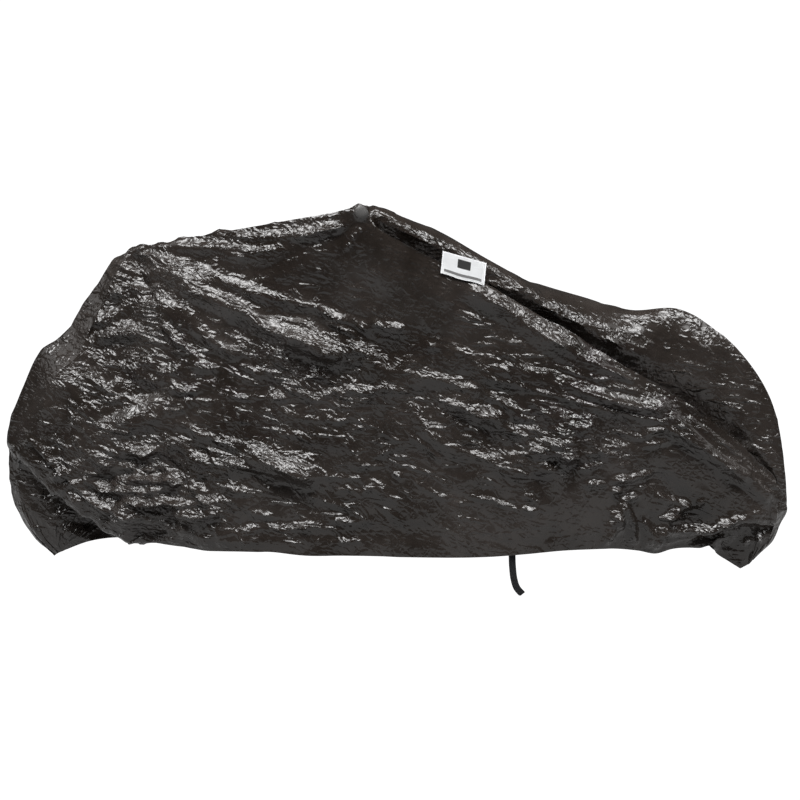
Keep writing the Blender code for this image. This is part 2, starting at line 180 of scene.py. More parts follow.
# Creases listed one by one, seen from the side: a line, as x and up of its points in turn, and how far its
# flanks reach to its left and to its right as the line is walked. The left flank is the one above a line
# to the front. A crease stands so high that this flank leans back as far as LEAN_BACK says, or as high
# as its own lift says.
Crease = namedtuple("Crease", "line left right lift", defaults=(None,))
CREASES = {"near": [
    # from the saddle's tip down towards the front
    ((-688, 990, -553, 953, -426, 909, -363, 892, -273, 863, -184, 838, -120, 827), 15, 26),
    ((-131, 821, -82, 798, -39, 787, 13, 762), 26, 10),
    ((25, 788, 62, 773, 111, 765), 20, 23),
    ((-600, 936, -532, 906, -461, 901), 20, 12),
    ((-554, 903, -483, 872, -416, 846, -347, 817, -295, 792, -228, 763), 29, 53),
    ((-228, 760, -168, 732, -110, 707, -45, 699), 58, 47),
    ((-45, 727, -4, 702, 48, 679), 41, 35),
    ((-316, 786, -266, 760, -212, 747, -160, 730), 12, 15),
    ((-522, 807, -483, 758, -439, 726, -387, 695, -357, 701), 20, 29),
    ((-600, 783, -572, 748, -534, 711, -483, 671, -471, 633), 15, 29),
    ((-607, 812, -571, 769, -540, 734), 12, 15, -6),
    ((-684, 936, -653, 876, -610, 812), 12, 26, -3),
    ((-684, 936, -663, 906, -645, 874, -621, 847), 26, 18),
    # around the saddle's tail
    ((-811, 828, -772, 846, -732, 880), 30, 16),
    ((-836, 780, -792, 783, -751, 805, -712, 811), 35, 20),
    ((-722, 727, -708, 763, -675, 770), 15, 18),
    ((-911, 748, -808, 762, -728, 802, -699, 817), 18, 26, -8),
    ((-855, 699, -808, 723, -762, 744, -678, 752), 26, 23),
    ((-653, 960, -614, 924, -580, 906), 15, 15),
    # the band below the top edge, and the grip's end
    ((-564, 1008, -476, 1000, -422, 1004, -366, 1003), 20, 20),
    ((-365, 1011, -323, 982, -255, 998), 9, 12),
    ((-422, 1032, -303, 1027, -227, 1029, -153, 1037, -48, 1058), 26, 20),
    ((-653, 1010, -525, 1003, -429, 998, -305, 991, -208, 998), 22, 90, 7),
    ((-30, 1022, -1, 1052), 6, 9),
    ((-53, 994, -30, 1010), 6, 9),
    ((-191, 1026, -164, 1029), 9, 9),
    # over the rear wheel
    ((-883, 681, -852, 681, -812, 667), 12, 15),
    ((-868, 648, -826, 629, -803, 600, -775, 618), 12, 15),
    ((-743, 603, -700, 598), 12, 12),
    ((-653, 596, -617, 611, -566, 610), 26, 18),
    ((-636, 587, -560, 584), 12, 12),
    ((-764, 542, -740, 551, -706, 563), 15, 15),
    ((-811, 511, -780, 518, -738, 513), 18, 15),
    ((-646, 544, -593, 545, -516, 552, -442, 551), 12, 12),
    ((-606, 531, -571, 516, -522, 532), 18, 15),
    ((-688, 523, -662, 518, -638, 536), 26, 18),
    ((-646, 498, -612, 499), 15, 12),
    ((-540, 488, -509, 471, -485, 451, -444, 450), 18, 18),
    ((-700, 405, -664, 387, -621, 406), 23, 15),
    ((-717, 447, -698, 465), 12, 12),
    # the middle, below the long folds
    ((-363, 657, -333, 649, -294, 618), 15, 15),
    ((-327, 649, -273, 630, -232, 619), 15, 15),
    ((-357, 620, -303, 606), 9, 12),
    ((-298, 710, -264, 708), 9, 9),
    ((-170, 631, -126, 629), 9, 9),
    ((-261, 673, -226, 668), 9, 9),
    ((-178, 675, -148, 681), 9, 9),
    ((-232, 596, -202, 588), 12, 12),
    ((-400, 575, -363, 565, -321, 568), 12, 12),
    ((-321, 589, -309, 566), 9, 9),
    ((-267, 566, -214, 565), 12, 12),
    ((-120, 572, -83, 589, -54, 584, -28, 598), 15, 15),
    ((-182, 574, -155, 563, -120, 560), 12, 12),
    ((-173, 531, -138, 543), 12, 12),
    ((-244, 532, -190, 513, -126, 505), 12, 15),
    ((-112, 511, -74, 500, -39, 509), 15, 12),
    ((-62, 483, -39, 489), 9, 9),
    ((-33, 478, 7, 490), 9, 9),
    ((-39, 549, 19, 567), 12, 12),
    ((-45, 667, -4, 679, 25, 671), 12, 12),
    ((-130, 701, -82, 684, -62, 696), 12, 12),
    # the rear half, low down
    ((-417, 442, -368, 420), 18, 18),
    ((-347, 432, -307, 408, -266, 385, -237, 369, -192, 353, -126, 339), 52, 47),
    ((-407, 381, -347, 365, -297, 361, -246, 351), 12, 18),
    ((-126, 347, -68, 342, -5, 340), 9, 12),
    ((-332, 337, -297, 311, -259, 295), 12, 15),
    ((-404, 312, -374, 295, -332, 293), 18, 18),
    ((-460, 417, -441, 377), 12, 12),
    # the rear skirt
    ((-803, 278, -714, 278, -635, 279, -574, 292, -535, 319), 24, 8),
    ((-770, 236, -700, 216, -638, 209, -557, 220, -482, 216, -416, 233), 24, 24),
    ((-709, 192, -639, 196, -589, 193), 12, 18),
    ((-705, 308, -655, 317, -600, 312, -560, 323), 36, 8),
    ((-690, 248, -640, 242, -590, 252, -535, 246), 27, 8),
    ((-560, 296, -530, 278, -490, 286), 28, 10),
    ((-480, 250, -450, 262, -415, 262), 18, 15),
    ((-834, 308, -767, 320, -719, 334, -662, 325, -594, 344, -544, 361), 15, 12, -8),
    ((-797, 353, -758, 361, -674, 350), 15, 18),
    # along the hem
    ((-327, 234, -265, 227), 12, 15),
    ((-438, 163, -364, 171, -298, 185, -215, 184, -145, 203), 23, 64),
    ((-151, 202, -104, 192, -63, 187), 9, 58),
    ((-83, 219, -34, 214, 24, 218), 9, 15),
    ((-156, 282, -132, 283), 9, 9),
    ((-121, 271, -80, 263, -34, 249), 9, 12),
    ((-83, 298, -45, 310, -10, 294, 24, 317), 9, 12),
    ((-98, 155, -5, 157), 9, 12),
    # the rear overhang
    ((-900, 508, -866, 486, -839, 457, -806, 429), 12, 18),
    ((-955, 316, -921, 321, -880, 330), 20, 18),
    ((-915, 288, -847, 307, -810, 308), 12, 15),
    # the middle, towards the front
    ((-10, 662, 105, 643, 219, 623, 333, 589), 24, 41),
    ((-10, 587, 59, 597, 93, 588), 12, 12),
    ((82, 751, 99, 762, 116, 785), 12, 9),
    ((185, 717, 219, 715), 15, 12),
    ((258, 709, 287, 692), 18, 12),
    ((349, 684, 389, 675), 15, 12),
    ((236, 560, 282, 543, 327, 517, 407, 509), 41, 26),
    ((356, 580, 404, 551, 447, 517), 20, 18),
    ((430, 517, 488, 508), 12, 12),
    ((470, 568, 510, 531, 551, 501), 9, 12),
    ((370, 500, 419, 477, 479, 457), 20, 20),
    ((505, 459, 540, 438, 575, 429), 18, 15),
    ((569, 441, 610, 448), 12, 12),
    ((459, 445, 500, 416, 552, 403), 15, 15),
    ((540, 412, 581, 394, 625, 400), 50, 20),
    ((640, 390, 675, 412), 18, 15),
    ((622, 361, 681, 377), 15, 12),
    ((640, 320, 700, 318), 12, 12),
    ((139, 560, 160, 515, 191, 470, 220, 447, 271, 424, 328, 410, 391, 379, 480, 346), 9, 30),
    ((262, 478, 293, 453, 322, 439), 9, 12),
    ((137, 460, 185, 429, 225, 391), 12, 12),
    ((33, 401, 76, 422, 105, 433), 9, 12),
    ((48, 473, 99, 451), 9, 12),
    ((-10, 377, 30, 375), 9, 9),
    ((82, 358, 111, 341), 12, 12),
    ((154, 330, 197, 302, 237, 279), 9, 15),
    ((306, 291, 369, 280), 9, 12),
    ((460, 296, 489, 278), 12, 12),
    ((455, 256, 495, 243), 12, 12),
    # the long ridge to the front, and the creases below it
    ((297, 887, 374, 839, 432, 799, 489, 761, 548, 721, 607, 688, 657, 664, 706, 640), 46, 40),
    ((651, 676, 710, 644, 781, 611), 12, 23),
    ((389, 658, 475, 646, 547, 625), 20, 18),
    ((504, 625, 576, 611, 635, 585, 708, 559, 799, 537, 885, 531), 30, 16),
    ((560, 652, 640, 626, 720, 598, 800, 578), 18, 10),
    ((679, 580, 738, 546, 805, 533), 9, 12),
    ((823, 541, 884, 496), 9, 12),
    ((332, 635, 447, 606, 562, 573, 679, 539, 799, 507, 890, 490), 9, 26),
    ((586, 492, 627, 479, 663, 496), 9, 12),
    ((734, 468, 801, 445, 837, 464, 879, 475), 15, 15),
    ((807, 421, 887, 433), 12, 12),
    # the front skirt, and the film over the front wheel
    ((718, 326, 778, 328, 844, 344), 18, 15),
    ((715, 294, 748, 298), 18, 12),
    ((749, 268, 798, 277), 15, 12),
    ((860, 270, 892, 255, 925, 249), 18, 15),
    ((931, 234, 962, 236), 18, 12),
    ((981, 235, 997, 248), 18, 12),
    ((862, 203, 964, 205), 9, 12),
    ((891, 513, 983, 434, 1109, 341, 1266, 222), 12, 18),
    ((923, 520, 1047, 431, 1261, 262), 12, 15),
    ((885, 475, 984, 416, 1046, 373, 1200, 247), 15, 23),
    ((855, 160, 964, 163, 1032, 158, 1061, 176, 1115, 191), 20, 20),
    ((1058, 90, 1101, 90), 12, 12),
    ((1130, 114, 1192, 128), 18, 12),
    ((681, 124, 722, 173, 750, 223), 15, 23),
    ((752, 177, 720, 234), 18, 18),
    ((826, 115, 840, 155, 819, 203), 18, 18),
    # the slack film below the saddle's tail, and ends of the long creases
    ((-775, 903, -735, 916, -700, 910), 34, 8, 6),
    ((-780, 858, -725, 868, -680, 856), 34, 8, 6.5),
    ((-748, 946, -710, 954), 26, 8, 4),
    ((-630, 640, -590, 628, -545, 640), 30, 10),
    ((-572, 586, -535, 576, -490, 581), 28, 10),
    ((-106, 790, -60, 766, -10, 744), 24, 10),
    ((-345, 872, -300, 848, -262, 828), 20, 16),
    # the film's puckers below the saddle's tail, which turn towards the front
    ((-812, 928, -800, 858), 19, 12, 5),
    ((-776, 955, -762, 882), 19, 12, 5),
    ((-836, 862, -822, 790), 19, 12, 5),
    ((-796, 848, -782, 786), 17, 11, 4),
    ((-746, 968, -728, 892), 17, 11, 4),
    ((-872, 808, -856, 738), 19, 12, 6),
    # the lit edge of the rear overhang
    ((-1040, 425, -940, 345, -830, 255, -725, 172), 28, 10),
    # the long crease from packing, and the others like it
    ((-4, 1067, -109, 1024, -231, 963, -358, 898), 9, 9, -1.5),
    ((-470, 690, -440, 610, -421, 526, -402, 471), 10, 10, -4),
    ((60, 985, 230, 700, 300, 560), 10, 10, 1.5),
    ((-600, 873, -540, 905, -515, 908), 9, 9, -1.5),
    # the film's lip at the front, over the recess in front of the wheel
    ((870, 120, 974, 140, 1031, 150, 1064, 168, 1099, 188, 1145, 191, 1183, 182, 1254, 181), 34, 16, 8),
    ((960, 118, 1064, 146, 1145, 160, 1240, 152), 12, 12, -9),
    ((700, 118, 715, 190, 760, 262), 18, 22),
    ((792, 120, 782, 196, 749, 258), 22, 18),
    ((850, 105, 893, 198, 961, 255), 24, 20),
], "near back": [
    # beyond the valley
    ((39, 1092, 85, 1069, 131, 1043, 211, 1003), 9, 15),
    ((350, 909, 390, 889, 431, 872), 12, 15),
    ((508, 840, 567, 802, 612, 784, 663, 772), 12, 15),
    ((688, 736, 748, 721), 15, 15),
    ((637, 757, 664, 751), 9, 9),
    ((724, 799, 791, 787, 874, 781, 923, 790), 15, 18),
    ((787, 740, 817, 734), 12, 12),
    ((825, 714, 852, 705), 15, 12),
    ((871, 713, 895, 705), 15, 12),
    ((983, 743, 1016, 692, 1049, 637), 18, 18),
    ((1085, 572, 1117, 553), 12, 12),
    ((1062, 631, 1101, 583), 9, 12),
    ((690, 822, 780, 800, 870, 800, 950, 800), 12, 30, 4),
    ((700, 780, 790, 760, 880, 757, 960, 752), 12, 30, 6),
    # the top edge just in front of the grip's end
    ((7, 1122, 8, 1100), 8, 8, 7),
    ((20, 1134, 23, 1106), 10, 12, -6),
    ((42, 1114, 90, 1090), 14, 14, 6),
]}
CREASE_END = 0.35  # a crease's height at its very end, as a share
LEAN_BACK, LEAN_LESS = math.radians(39), math.radians(0.0143)  # at the ground, and less for each mm up
LEAN_SINES = (-0.2, 0.5)  # the film's own lean is read between these sines
CREASE_SLOPES = (0.08, 0.75)  # the flattest and the steepest left flank
BUSY = 0.55  # how much more crumpled the film is on a crease's flanks

# The end of the grip, over which the film is drawn tight and smooth.
Knob = namedtuple("Knob", "x out up radius lift")
KNOB = Knob(0, 301, 1097, 22, 9)
TAUT_REACH, TAUT_FADE = 1.1, 0.5  # in the knob's radii

# How crumpled the film is, from 0 where it is smooth to 1, around places seen from the side.
Patch = namedtuple("Patch", "x up reach_x reach_up crumple")
CALM = 0.3
PATCHES = {"near": [
    (-760, 760, 230, 220, 0.9),
    (-960, 500, 190, 190, 0.5),
    (-890, 700, 90, 110, 0.35),
    (-660, 270, 260, 170, 1.0),
    (-250, 760, 260, 130, 0.6),
    (-60, 660, 200, 110, 1.0),
    (80, 880, 260, 170, 0.2),
    (-470, 850, 120, 100, 0.3),
    (-250, 420, 200, 90, 0.8),
    (300, 560, 330, 170, 0.55),
    (600, 420, 160, 110, 0.8),
    (60, 300, 330, 110, 0.4),
    (700, 250, 180, 110, 0.12),
    (1080, 400, 180, 170, 0.08),
    (-80, 140, 330, 45, 0.05),
    (70, 1030, 110, 80, 0.0),
], "near back": [
    (500, 880, 300, 90, 0.7),
    (780, 800, 150, 70, 0.1),
    (50, 1060, 70, 60, 0.0),
    (-350, 1010, 330, 60, 0.9),
], "far": [
    (-700, 600, 350, 350, 0.9),
    (200, 500, 500, 250, 0.6),
], "far back": [
    (-350, 1010, 330, 60, 0.7),
    (600, 840, 330, 120, 0.6),
]}
PATCH_FADE = 1.6  # a patch ends at this many times its reach

# Small random creases: how many, how long, how far their flanks reach and how high they stand.
CreaseLayer = namedtuple("CreaseLayer", "count long wide lift")
LAYERS = [
    CreaseLayer(180, 170, 34, 5.0),
    CreaseLayer(1100, 90, 22, 4.4),
]
SIZES = (0.5, 1.5)  # the smallest and the largest of a layer, as a share of its sizes
LEAN, LEAN_SPREAD, LEANING = math.radians(20), math.radians(26), 0.7  # most creases run down to the front
NEARLY_UP = (0.05, 0.02, 1)  # never quite along the film's normal
THROUGH = 1.5  # how far a crease works on film in front of it or behind it, in flanks
CALM_SHARE, CRUMPLED_SHARE = 0.3, 0.9  # of their height: everywhere, and more where the film is crumpled
SEED = 7
EDGE_CALM, EDGE_SHARE = 40, 0.15  # creases fade out this close to the hem, down to this share
FILM_SHARP = math.radians(40)  # the film's edges that turn more than this are crisp
SHEET_SHARP = math.radians(50)  # and those of the label and the strap

# Creases too small for the mesh: little roofs, as long and as wide as this in metres, turned by this much,
# with flanks of this slope, and the share of them that stands up on calm and on crumpled film.
Roofs = namedtuple("Roofs", "long wide turn slope calm crumpled")
ROOFS = [
    Roofs(0.095, 0.024, 0.36, 0.54, 0.01, 0.42),
    Roofs(0.052, 0.013, 0.10, 0.52, 0.02, 0.50),
    Roofs(0.040, 0.012, 0.85, 0.46, 0.02, 0.45),
    Roofs(0.022, 0.012, 0.40, 0.30, 0.40, 0.90),
    Roofs(0.014, 0.009, 1.75, 0.22, 0.40, 0.85),
]
ROOF_FADE = 0.12
ROOF_WARP = (11, 0.014)  # scale and reach
WARP_DETAIL = 3
CLOUD = (6, 5)  # scale and detail, as for the other noises below
CLOUD_FROM, CLOUD_CONTRAST = 0.35, 2.8
FILM_TONES = (0.0140, 0.0106, 0.0085, 1), (0.0325, 0.0268, 0.0236, 1)
TAUT_TONE = (0.075, 0.073, 0.071, 1)
FILM_ROUGH, CLOUD_ROUGH, TAUT_ROUGH = 0.10, 0.16, 0.3

# The label, seen from the side: its bottom left corner, and its bottom and left edges.
LABEL_CORNER = (220, 925)
LABEL_BOTTOM_EDGE = (122, -34)
LABEL_LEFT_EDGE = (6, 63)
LABEL_THICK, LABEL_GAP = 1.0, 3.0
LABEL_CELLS = (60, 30)
LABEL_REACH = 2  # cells looked at on each side for the film's nearest point
LABEL_WAVE = 1.2
LABEL_BORDER = 0.025  # share of the label's length that is pressed flat along its edges
LABEL_SMOOTHINGS = 12
LABEL_WAVE_SIZE, LABEL_WAVE_TURN, LABEL_WAVE_START = 45, 9, 0.6
WELL_OUT = 500  # farther out than any of the film
Bar = namedtuple("Bar", "along0 along1 rise0 rise1 tone")
LABEL_BARS = [  # as shares of the label's edges
    Bar(0.36, 0.66, 0.46, 0.84, 0.03),
    Bar(0.07, 0.93, 0.11, 0.23, 0.16),
]
LABEL_TONES = (0.66, 0.67, 0.68, 1), (0.72, 0.73, 0.74, 1)
LABEL_BORDER_TONE = (0.82, 0.83, 0.84, 1)
LABEL_SOIL, LABEL_COCKLE = (60, 4), (45, 3)
LABEL_WEAVE = 2600  # radians in a metre
WEAVE_RISE, MIDDLE_RISE, COCKLE_RISE = 0.00006, 0.0004, 0.0012  # in metres

# The strap hangs from the inside of the near hem, and its free end curls towards the front wheel.
STRAP_WIDTH, STRAP_THICK = 20, 1.6
STRAP_PATH = [(428, 156), (428, 116), (430, 76), (434, 46), (442, 22), (458, 4)]
STRAP_OUT = [266, 261.5, 262, 264, 267, 272]
STRAP_STEPS = 16
STRAP_CELLS = 12
STRAP_TWIST, STRAP_TWIST_TURN = 1.5, 5
SELVAGE = 0.09  # share of the width
SELVAGE_TONE = (0.005, 0.005, 0.006, 1)
YARN_TONES = (0.006, 0.006, 0.007, 1), (0.016, 0.016, 0.018, 1)
STRAP_PICKS, STRAP_ENDS = 95.0, 13  # ribs along and yarns across
RIB_FOLDS, RIB_SLANT = 6.0, 1.6
FUZZ = (900, 3)
YARN_RISE, FUZZ_RISE = 0.00012, 0.00035  # in metres

BACKDROP_GLOW = 1.1
FLOOR_REACH = 30
# The lit floor glows rather than being lit: its rings paint shade close under the cover and a pool of light
# in front of it.
FLOOR_SQUASH = 0.55  # the lit floor is longer along the bicycle than across it
FLOOR_BACK = 0.6  # its middle lies this far towards the rear
Ring = namedtuple("Ring", "away light")  # metres from the lit floor's middle, and strength
FLOOR_LIT = [Ring(0.3, 0.05), Ring(0.9, 0.62), Ring(1.9, 0.64), Ring(2.8, 0.18), Ring(4.5, 0.05)]
ROOM = 0.05
Lamp = namedtuple("Lamp", "name where at long wide power")
LIGHTS = [
    Lamp("softbox", (0.1, -1.35, 2.1), (0.1, 0, -0.5), 7.4, 1.6, 172),
    Lamp("lamp", (0.2, -1.3, 2.0), (0.2, 0, -0.5), 6.8, 0.5, 115),
    Lamp("rear side", (-3.2, 0.2, 1.3), (-0.8, 0, -0.4), 1.6, 1.6, 7),
    Lamp("front side", (3.6, 0.2, 1.3), (1.0, 0, -0.5), 1.6, 1.6, 8),
]


def place(x, out, up):
    """A point in the frame, in metres, from millimetres on the bicycle."""
    return Vector((x, out, up - MOUNT_UP)) * METRES


def camera():
    data = bpy.data.cameras.new("camera")
    data.lens, data.sensor_width = CAMERA_LENS, CAMERA_SENSOR
    obj = bpy.data.objects.new("camera", data)
    obj.location = CAMERA_PLACE
    obj.rotation_euler = (math.radians(CAMERA_TILT), 0, math.radians(CAMERA_YAW))
    bpy.context.scene.collection.objects.link(obj)
    bpy.context.scene.camera = obj


def smooth_through(points, distances, counts, corners=()):
    """Points on a curve through the given ones, along the first axis, counts[i] steps in gap i.
    The curve is smooth but at the corners, where it turns within a short way."""
    gaps = np.diff(distances, axis=0)
    slopes = np.diff(points, axis=0) / gaps
    leaving, arriving = slopes.copy(), slopes.copy()
    for i in range(1, len(points) - 1):
        before, after = gaps[i - 1], gaps[i]
        through = (slopes[i - 1] * after + slopes[i] * before) / (before + after)
        share = CORNER_ROUNDING if i in corners else 1
        arriving[i - 1] += (through - slopes[i - 1]) * share
        leaving[i] += (through - slopes[i]) * share
    rows = []
    for i, count in enumerate(counts):
        for step in range(count):
            t = step / count
            rows.append((2 * t**3 - 3 * t**2 + 1) * points[i] + (t**3 - 2 * t**2 + t) * gaps[i] * leaving[i]
                        + (3 * t**2 - 2 * t**3) * points[i + 1] + (t**3 - t**2) * gaps[i] * arriving[i])
    rows.append(points[-1])
    return np.array(rows)


def section_controls(section, side):
    """The section's control points on one side, hem first and back ridge last, as x, signed out, up."""
    width = side * (FAR_WIDTH if side == FAR else 1)
    hem = np.array((section.hem_x, section.hem_out, section.hem_up), float)
    ridge = np.array((section.ridge_x, section.ridge_out, section.ridge_up), float)
    top = np.array((section.top_x, 0, section.top_up), float)
    down = np.array((0, 0, -section.sag))
    belly = ridge + (hem - ridge) * BELLY_AT + down
    skirt = ridge + (hem - ridge) * SKIRT_AT + down
    belly[1], skirt[1] = section.belly_out, section.skirt_out
    if section.name in VALLEYS:
        share = FAR_VALLEY if side == FAR else np.ones(4)
        valley_in, valley_drop, back_in, back_rise = np.array(VALLEYS[section.name]) * share
        valley = ridge + (0, -valley_in, -valley_drop)
        back = ridge + (0, -back_in, back_rise)
    else:
        valley, back = ridge + (top - ridge) * VALLEY_AT, ridge + (top - ridge) * BACK_AT
    controls = np.array((hem, skirt, belly, ridge, valley, back))
    controls[:, 1] *= width
    return controls


def cover_grid():
    """The draped surface as a grid of points: sections from the rear to the front, near hem to far hem."""
    controls = []
    for section in SECTIONS:
        top = [(section.top_x, 0, section.top_up)]
        far = section_controls(section, FAR)[::-1]
        controls.append(np.concatenate((section_controls(section, NEAR), top, far)))
    controls = np.array(controls)
    lengths = np.linalg.norm(np.diff(controls, axis=0), axis=2).mean(axis=1)
    distances = np.concatenate(([0], np.cumsum(lengths)))
    finer = [FINER if section.name in GRIP_SECTIONS else 1 for section in SECTIONS[:-1]]
    counts = [max(1, round(length / STEP_ALONG * more)) for length, more in zip(lengths, finer)]
    along = smooth_through(controls, distances[:, None, None], counts)
    chords = np.linalg.norm(np.diff(along, axis=1), axis=2)
    across = np.concatenate((np.zeros((len(along), 1)), np.cumsum(chords, axis=1)), axis=1)
    steps = STEPS_ACROSS[NEAR] + STEPS_ACROSS[FAR][::-1]
    return smooth_through(along.swapaxes(0, 1), across.T[:, :, None], steps, RIDGES).swapaxes(0, 1)


def outward_normals(grid):
    normals = np.cross(np.gradient(grid, axis=0), np.gradient(grid, axis=1))
    return normals / np.maximum(np.linalg.norm(normals, axis=2, keepdims=True), 1e-9)


def film_noise(point, size):
    return noise.noise(Vector(point) / size)


def fold_zones(columns):
    """The columns of the grid that each zone of folds covers."""
    column = np.arange(columns)
    near, far = sum(STEPS_ACROSS[NEAR][:3]), columns - 1 - sum(STEPS_ACROSS[FAR][:3])
    middle = sum(STEPS_ACROSS[NEAR])
    return {
        "near": column < near,
        "near back": (column > near + RIDGE_COLUMNS) & (column < middle),
        "far": column > far,
        "far back": (column < far - RIDGE_COLUMNS) & (column > middle),
    }


def fold_lift(fold, x, up):
    """How far a fold lifts the film at each point: a soft bell across its line, fading at both ends."""
    start, run = np.array((fold.x1, fold.up1)), np.array((fold.x2 - fold.x1, fold.up2 - fold.up1))
    length = np.hypot(*run)
    along = ((x - start[0]) * run[0] + (up - start[1]) * run[1]) / length**2
    aside = np.abs((x - start[0]) * run[1] - (up - start[1]) * run[0]) / length
    bell = np.cos(np.clip(aside / fold.width, 0, 1) * math.pi / 2) ** 2
    ends = np.clip(np.minimum(along, 1 - along) * length / fold.width + FOLD_END, 0, 1)
    return fold.lift * bell * ends


def soft_lift(grid, zones):
    """How far the folds, the waves and the crumples at the rear wheel lift each point of the film."""
    x, up = grid[:, :, 0], grid[:, :, 2]
    lift = np.zeros(x.shape)
    for zone, rows in FOLDS.items():
        for row in rows:
            lift += fold_lift(Fold(*row), x, up) * zones[zone]
    reach = np.hypot(x - CRUMPLE_CENTRE[0], up - CRUMPLE_CENTRE[1]) / CRUMPLE_REACH
    crumpled = np.clip(CRUMPLE_FADE - reach, 0, 1) * CRUMPLE_LIFT
    waves = np.array([[film_noise(p, WAVE_SIZE) for p in row] for row in grid])
    crumples = np.array([[film_noise(p, CRUMPLE_SIZE) for p in row] for row in grid])
    lift += (waves * WAVE_LIFT + crumples * crumpled) * (zones["near"] | zones["far"])
    spread = np.linalg.norm(grid[:, :1] - grid[:, -1:], axis=2)
    return lift * np.clip((spread - TIGHT_UNDER) / TIGHT_FADE, 0, 1)


def crumple_map(grid, zones):
    """How crumpled the film is at each point of the grid."""
    x, up = grid[:, :, 0], grid[:, :, 2]
    crumple = np.full(x.shape, CALM)
    for zone, rows in PATCHES.items():
        for patch in (Patch(*row) for row in rows):
            away = np.hypot((x - patch.x) / patch.reach_x, (up - patch.up) / patch.reach_up)
            share = np.clip(PATCH_FADE - away, 0, 1) * zones[zone]
            crumple += (patch.crumple - crumple) * share * share * (3 - 2 * share)
    return crumple


def crease_shape(crease, x, up):
    """A crease's height at each point, as a share: 1 on its line, and straight down to its flanks' feet."""
    shape = np.zeros(x.shape)
    line = np.array(crease.line, float).reshape(-1, 2)
    reach = max(crease.left, crease.right)
    near = np.nonzero((x > line[:, 0].min() - reach) & (x < line[:, 0].max() + reach)
                      & (up > line[:, 1].min() - reach) & (up < line[:, 1].max() + reach))
    x, up = x[near], up[near]
    nearest, walked = np.full(x.shape, np.inf), np.zeros(x.shape)
    passed = 0.0
    runs = np.diff(line, axis=0)
    for start, run, length in zip(line, runs, np.linalg.norm(runs, axis=1)):
        t = np.clip(((x - start[0]) * run[0] + (up - start[1]) * run[1]) / length**2, 0, 1)
        over_x, over_up = x - start[0] - t * run[0], up - start[1] - t * run[1]
        flank = np.where(run[0] * over_up > run[1] * over_x, crease.left, crease.right)
        away = np.hypot(over_x, over_up) / flank
        closer = away < nearest
        nearest, walked = np.where(closer, away, nearest), np.where(closer, (passed + t * length), walked)
        passed += length
    ends = np.clip(np.minimum(walked, passed - walked) / crease.left + CREASE_END, 0, 1)
    shape[near] = np.clip(1 - nearest, 0, 1) * ends
    return shape


def laid_creases(grid, normals, zones, crumple):
    """The heights of the listed creases, and how crumpled the film is with them."""
    x, up = grid[:, :, 0], grid[:, :, 2]
    leans = np.arcsin(np.clip(normals[:, :, 2], *LEAN_SINES))
    slopes = np.clip(np.tan(LEAN_BACK - LEAN_LESS * up - leans), *CREASE_SLOPES)
    lift = np.zeros(x.shape)
    for zone, rows in CREASES.items():
        for crease in (Crease(*row) for row in rows):
            shape = crease_shape(crease, x, up) * zones[zone]
            lift += shape * (crease.left * slopes if crease.lift is None else crease.lift)
            if crease.lift is None:
                crumple = np.maximum(crumple, BUSY * np.sqrt(shape))
    return lift, crumple


def random_creases(grid, normals, crumple):
    """A net of small straight creases, up and down, denser and higher where the film is crumpled."""
    rng = np.random.default_rng(SEED)
    rows, columns = crumple.shape
    lift = np.zeros(crumple.shape)
    for layer in LAYERS:
        cells = int((layer.long / 2 + layer.wide) * SIZES[1] / STEP_ALONG) + 2
        made = 0
        while made < layer.count:
            i, j = rng.integers(rows), rng.integers(columns)
            size, sign, chance = rng.uniform(*SIZES), rng.choice((-1, 1)), rng.uniform()
            turn = rng.normal(LEAN, LEAN_SPREAD) if rng.uniform() < LEANING else rng.uniform(0, math.pi)
            if chance > crumple[i, j]:
                continue
            made += 1
            i0, i1 = max(0, i - cells), min(rows, i + cells + 1)
            j0, j1 = max(0, j - cells), min(columns, j + cells + 1)
            away = grid[i0:i1, j0:j1] - grid[i, j]
            normal = normals[i, j]
            level = np.cross(normal, NEARLY_UP)
            level /= np.linalg.norm(level)
            along = level * math.cos(turn) + np.cross(level, normal) * math.sin(turn)
            across = np.cross(normal, along)
            flank = np.clip(1 - np.abs(away @ across) / (layer.wide * size), 0, 1)
            ends = np.clip((layer.long / 2 * size - np.abs(away @ along)) / (layer.wide * size), 0, 1)
            depth = np.clip(THROUGH - np.abs(away @ normal) / (layer.wide * size), 0, 1)
            lift[i0:i1, j0:j1] += sign * layer.lift * size * flank * ends * depth
    return lift * (CALM_SHARE + CRUMPLED_SHARE * crumple)


def hem_distance(grid):
    """How far each point lies from the nearer hem, along the film."""
    from_near, from_far = (
        np.cumsum(np.linalg.norm(np.diff(side, axis=1, prepend=side[:, :1]), axis=2), axis=1)
        for side in (grid, grid[:, ::-1]))
    return np.minimum(from_near, from_far[:, ::-1])


def dressed_grid():
    """The film's outer surface with all its folds, how crumpled it is, and how tightly it is drawn."""
    grid = cover_grid()
    zones = fold_zones(grid.shape[1])
    grid = grid + outward_normals(grid) * soft_lift(grid, zones)[:, :, None]
    normals = outward_normals(grid)
    lift, crumple = laid_creases(grid, normals, zones, crumple_map(grid, zones))
    lift += random_creases(grid, normals, crumple)
    lift *= np.clip(hem_distance(grid) / EDGE_CALM, EDGE_SHARE, 1)
    from_knob = np.hypot(grid[:, :, 0] - KNOB.x, grid[:, :, 2] - KNOB.up) / KNOB.radius
    inward = np.clip((KNOB.out + grid[:, :, 1]) / KNOB.radius - 1, 0, None)
    taut = np.clip((TAUT_REACH - np.hypot(from_knob, inward)) / TAUT_FADE, 0, 1)
    taut *= zones["near"] | zones["near back"]
    blunt = np.sqrt(np.clip(1 - from_knob**4, 0, 1)) * zones["near"]
    lift = lift * (1 - taut) + KNOB.lift * blunt
    return grid + normals * lift[:, :, None], crumple * (1 - taut), taut


